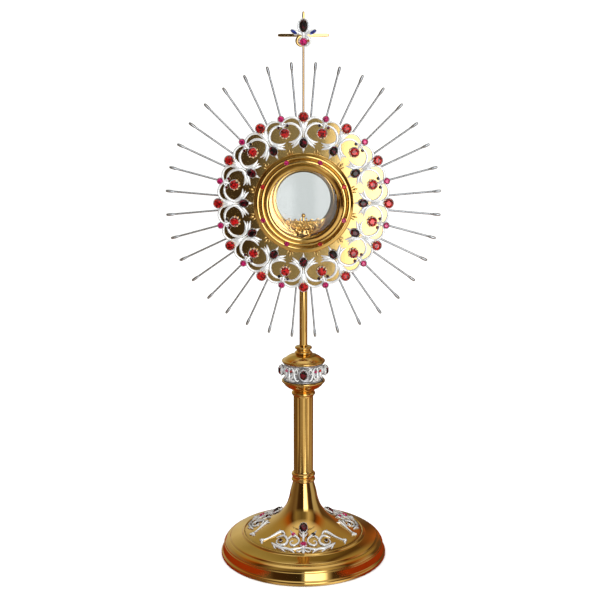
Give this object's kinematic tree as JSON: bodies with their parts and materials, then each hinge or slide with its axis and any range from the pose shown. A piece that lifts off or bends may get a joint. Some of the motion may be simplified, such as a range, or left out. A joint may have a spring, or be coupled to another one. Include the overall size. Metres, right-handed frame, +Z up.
{
  "type": "monstrance",
  "caption": "Standing altar vessel: turned foot, slim column and knop carry a round glazed capsule in a jewelled openwork rosette with straight rays and a cross.",
  "frame": {"origin": "centre of the felt's underside, on the surface that the foot stands on, below the stem's axis", "axes": "+Z up the stem to the cross, -Y to the front where the window and the stones face, +X to the right seen from the front"},
  "size_m": [0.2988, 0.19, 0.6084],
  "materials": {
    "gilt_brass": "mirror-polished gilding",
    "silver_plate": "bright cast silver plate",
    "steel": "bright turned",
    "clear_glass": "clear flat glass",
    "garnet": "faceted dark red stone",
    "felt": "wool felt"
  },
  "bodies": {
    "root": {"foot_shell": "gilt_brass", "lower_collar": "gilt_brass", "fluted_column": "gilt_brass", "column_collar": "gilt_brass", "knop_cup": "gilt_brass", "knop_dome": "gilt_brass", "neck_collar": "gilt_brass", "upper_tube": "gilt_brass", "head_socket": "gilt_brass", "rosette_plate": "gilt_brass", "front_bezel": "gilt_brass", "front_glass_ring": "gilt_brass", "capsule_drum": "gilt_brass", "lunula_rail": "gilt_brass", "cross_rod": "gilt_brass", "finial_cross": "gilt_brass", "knop_band": "silver_plate", "ray_halo": "silver_plate", "finial_mount": "silver_plate", "filigree_lobe_01": "silver_plate", "filigree_lobe_02": "silver_plate", "filigree_lobe_03": "silver_plate", "filigree_lobe_04": "silver_plate", "filigree_lobe_05": "silver_plate", "filigree_lobe_06": "silver_plate", "filigree_lobe_07": "silver_plate", "filigree_lobe_08": "silver_plate", "filigree_lobe_09": "silver_plate", "filigree_lobe_10": "silver_plate", "filigree_lobe_11": "silver_plate", "filigree_lobe_12": "silver_plate", "foot_ornament_1": "silver_plate", "foot_ornament_2": "silver_plate", "foot_ornament_3": "silver_plate", "base_plate": "steel", "tie_rod": "steel", "tie_nut": "steel", "tie_washer": "steel", "hinge_pin": "steel", "catch_screw": "steel", "head_screw_1": "steel", "head_screw_2": "steel", "head_screw_3": "steel", "head_screw_4": "steel", "front_glass": "clear_glass", "knop_setting_1": "garnet", "knop_setting_2": "garnet", "knop_setting_3": "garnet", "knop_setting_4": "garnet", "felt_pad": "felt"},
    "rear_door": {"rear_door_frame": "gilt_brass", "rear_glass": "clear_glass", "rear_glass_ring": "gilt_brass", "door_knob": "gilt_brass"},
    "catch": {"catch_lever": "gilt_brass"},
    "lunula": {"lunula_front": "gilt_brass", "lunula_pin": "steel"},
    "jaw": {"lunula_jaw": "gilt_brass"}
  },
  "joints": [
    {"name": "door_hinge", "type": "hinge", "parent": "root", "child": "rear_door", "pos_m": [0.0476, 0.0268, 0.407], "axis": [0, 0, -1], "range_deg": [0, 110]},
    {"name": "catch_turn", "type": "hinge", "parent": "root", "child": "catch", "pos_m": [-0.0495, 0.0305, 0.407], "axis": [0, -1, 0], "range_deg": [0, 90]},
    {"name": "lunula_slide", "type": "slide", "parent": "root", "child": "lunula", "axis": [0, 1, 0], "range_m": [0, 0.014]},
    {"name": "lunula_jaw_hinge", "type": "hinge", "parent": "lunula", "child": "jaw", "pos_m": [0, 0.0038, 0.378], "axis": [-1, 0, 0], "range_deg": [0, 20]}
  ]
}
